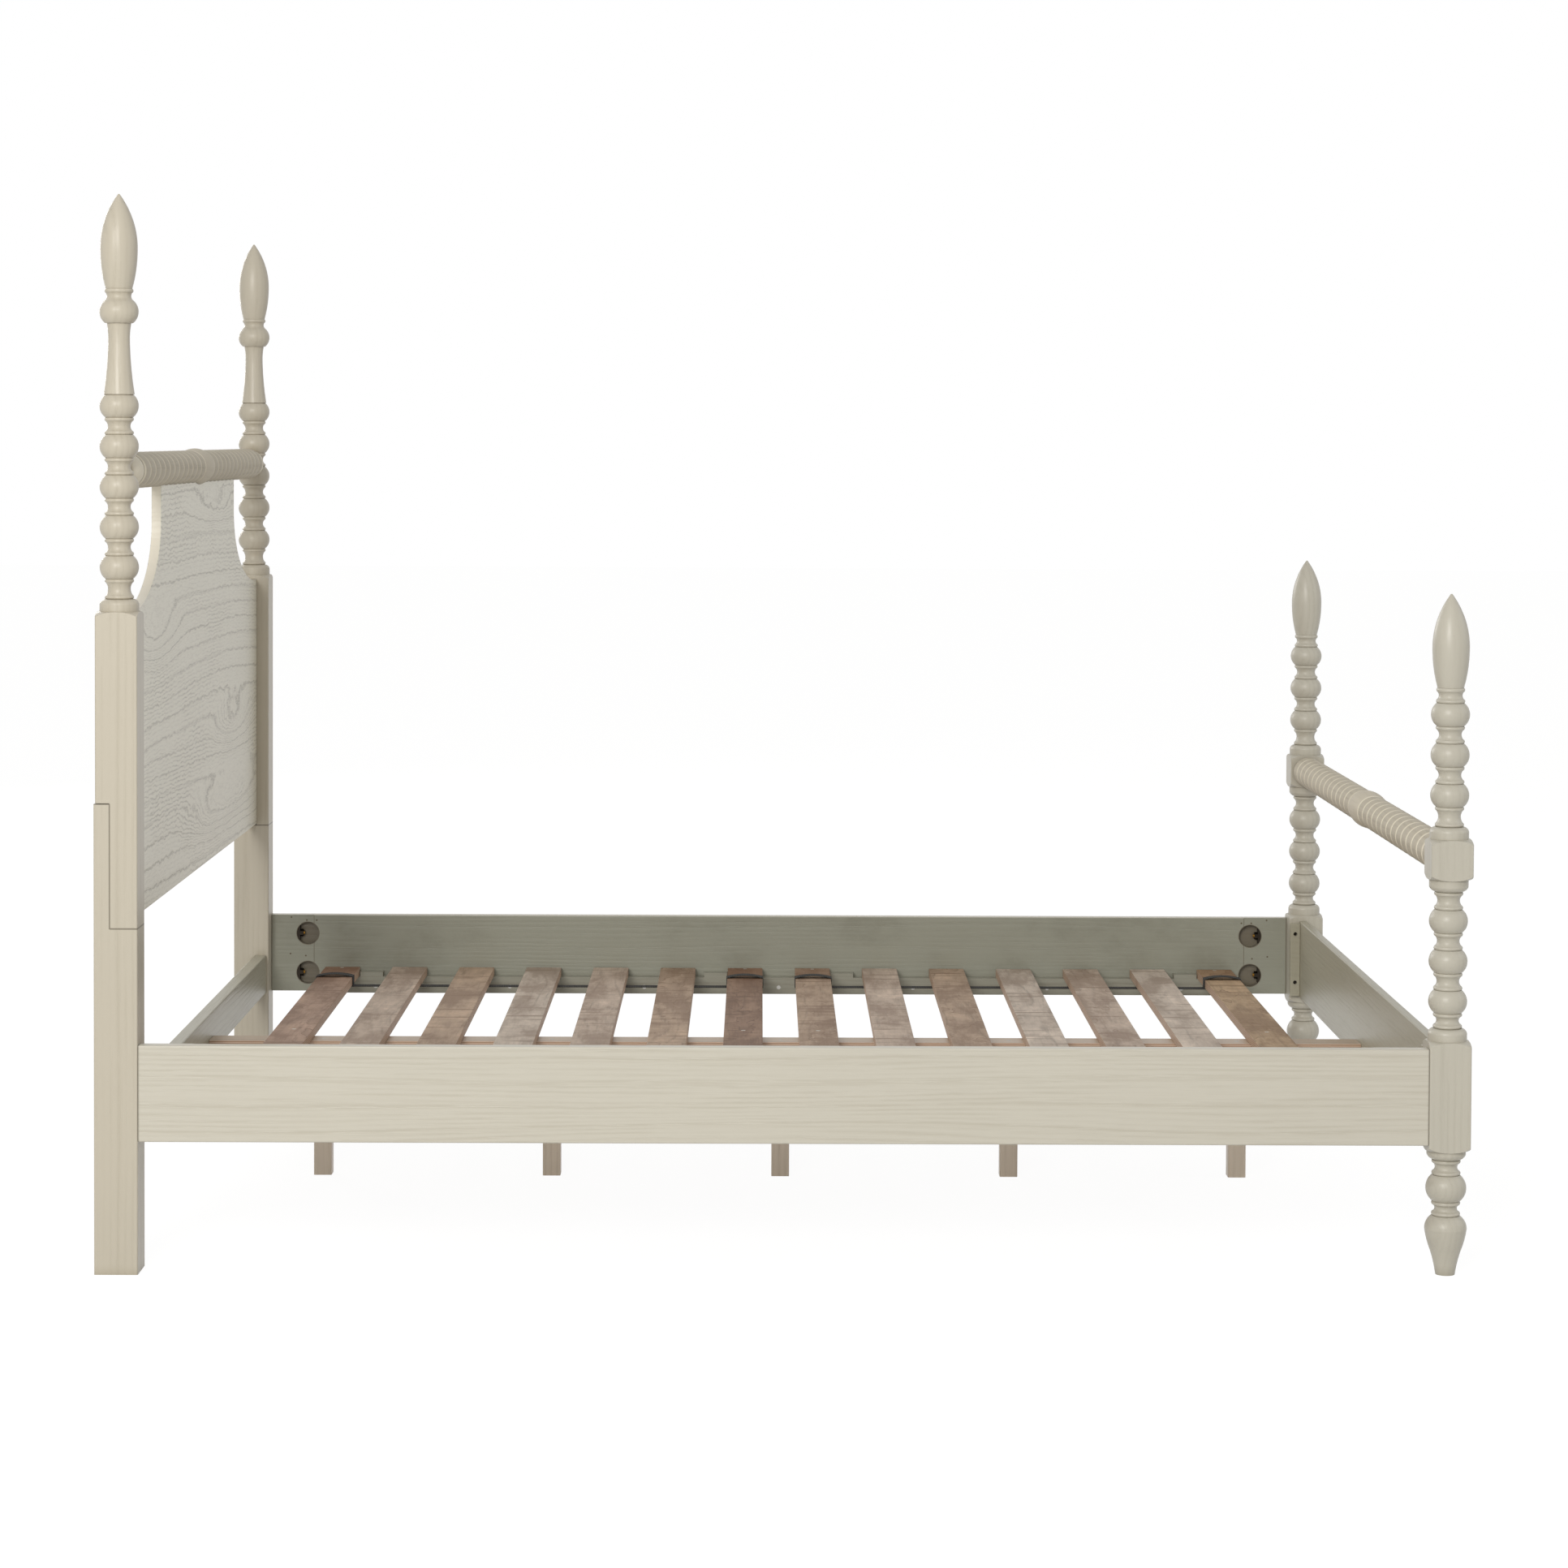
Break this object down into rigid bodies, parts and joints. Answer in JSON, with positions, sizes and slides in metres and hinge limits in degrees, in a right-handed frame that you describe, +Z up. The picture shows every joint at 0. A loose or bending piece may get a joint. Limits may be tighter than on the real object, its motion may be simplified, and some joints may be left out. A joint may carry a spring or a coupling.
{
  "type": "spindle bed",
  "caption": "Queen bed with turned ball-and-finial posts, ribbed top rails, a shouldered headboard panel, bolted side rails and a slatted deck on a centre beam.",
  "frame": {"origin": "on the floor under the middle of the bed", "axes": "+X towards the foot, +Y towards the left side of a sleeper on their back, +Z up"},
  "size_m": [2.1897, 1.5972, 1.716],
  "materials": {
    "turned_post": "satin paint over turned oak",
    "head_leg": "satin paint over square oak",
    "ribbed_rail": "satin paint over turned oak",
    "panel_face": "grained greige paint on veneered board",
    "side_rail": "satin paint over oak with its grain showing",
    "end_rail": "satin paint over oak",
    "end_block": "satin paint over solid oak",
    "bare_batten": "thin grey paint",
    "slat_veneer": "sealed rotary-cut veneer",
    "beam_ply": "bare plywood",
    "centre_leg": "satin paint",
    "webbing": "woven",
    "brassed_rod": "threaded, dull",
    "dark_steel": "blackened",
    "zinc_steel": "zinc plated",
    "pale_screw": "zinc plated"
  },
  "bodies": {
    "root": {"beam_screws": "zinc_steel", "beam_seat_foot": "bare_batten", "beam_seat_head": "bare_batten", "bed_bolt_crescents": "dark_steel", "bed_bolt_inserts": "zinc_steel", "bed_bolt_nuts": "dark_steel", "bed_bolts": "brassed_rod", "centre_beam": "beam_ply", "centre_leg_1": "centre_leg", "centre_leg_2": "centre_leg", "centre_leg_3": "centre_leg", "centre_leg_4": "centre_leg", "centre_leg_5": "centre_leg", "cleat_screws": "zinc_steel", "end_block_foot_left": "end_block", "end_block_foot_right": "end_block", "end_block_head_left": "end_block", "end_block_head_right": "end_block", "foot_cleat_left": "end_rail", "foot_cleat_right": "end_rail", "foot_end_rail": "end_rail", "foot_post_left": "turned_post", "foot_post_right": "turned_post", "foot_top_rail": "ribbed_rail", "head_cross_rail": "end_rail", "head_leg_left": "head_leg", "head_leg_right": "head_leg", "head_panel": "panel_face", "head_panel_neck": "panel_face", "head_post_left": "turned_post", "head_post_right": "turned_post", "head_top_rail": "ribbed_rail", "lap_bolts": "zinc_steel", "lap_inserts": "zinc_steel", "lap_washers": "zinc_steel", "ledge_screws": "zinc_steel", "side_rail_left": "side_rail", "side_rail_right": "side_rail", "slat_01": "slat_veneer", "slat_02": "slat_veneer", "slat_03": "slat_veneer", "slat_04": "slat_veneer", "slat_05": "slat_veneer", "slat_06": "slat_veneer", "slat_07": "slat_veneer", "slat_08": "slat_veneer", "slat_09": "slat_veneer", "slat_10": "slat_veneer", "slat_11": "slat_veneer", "slat_12": "slat_veneer", "slat_13": "slat_veneer", "slat_14": "slat_veneer", "slat_ledge_left": "bare_batten", "slat_ledge_right": "bare_batten", "slat_screws": "pale_screw", "slat_stops": "bare_batten", "slat_strap_foot_left": "webbing", "slat_strap_foot_right": "webbing", "slat_strap_head_left": "webbing", "slat_strap_head_right": "webbing"}
  },
  "joints": []
}
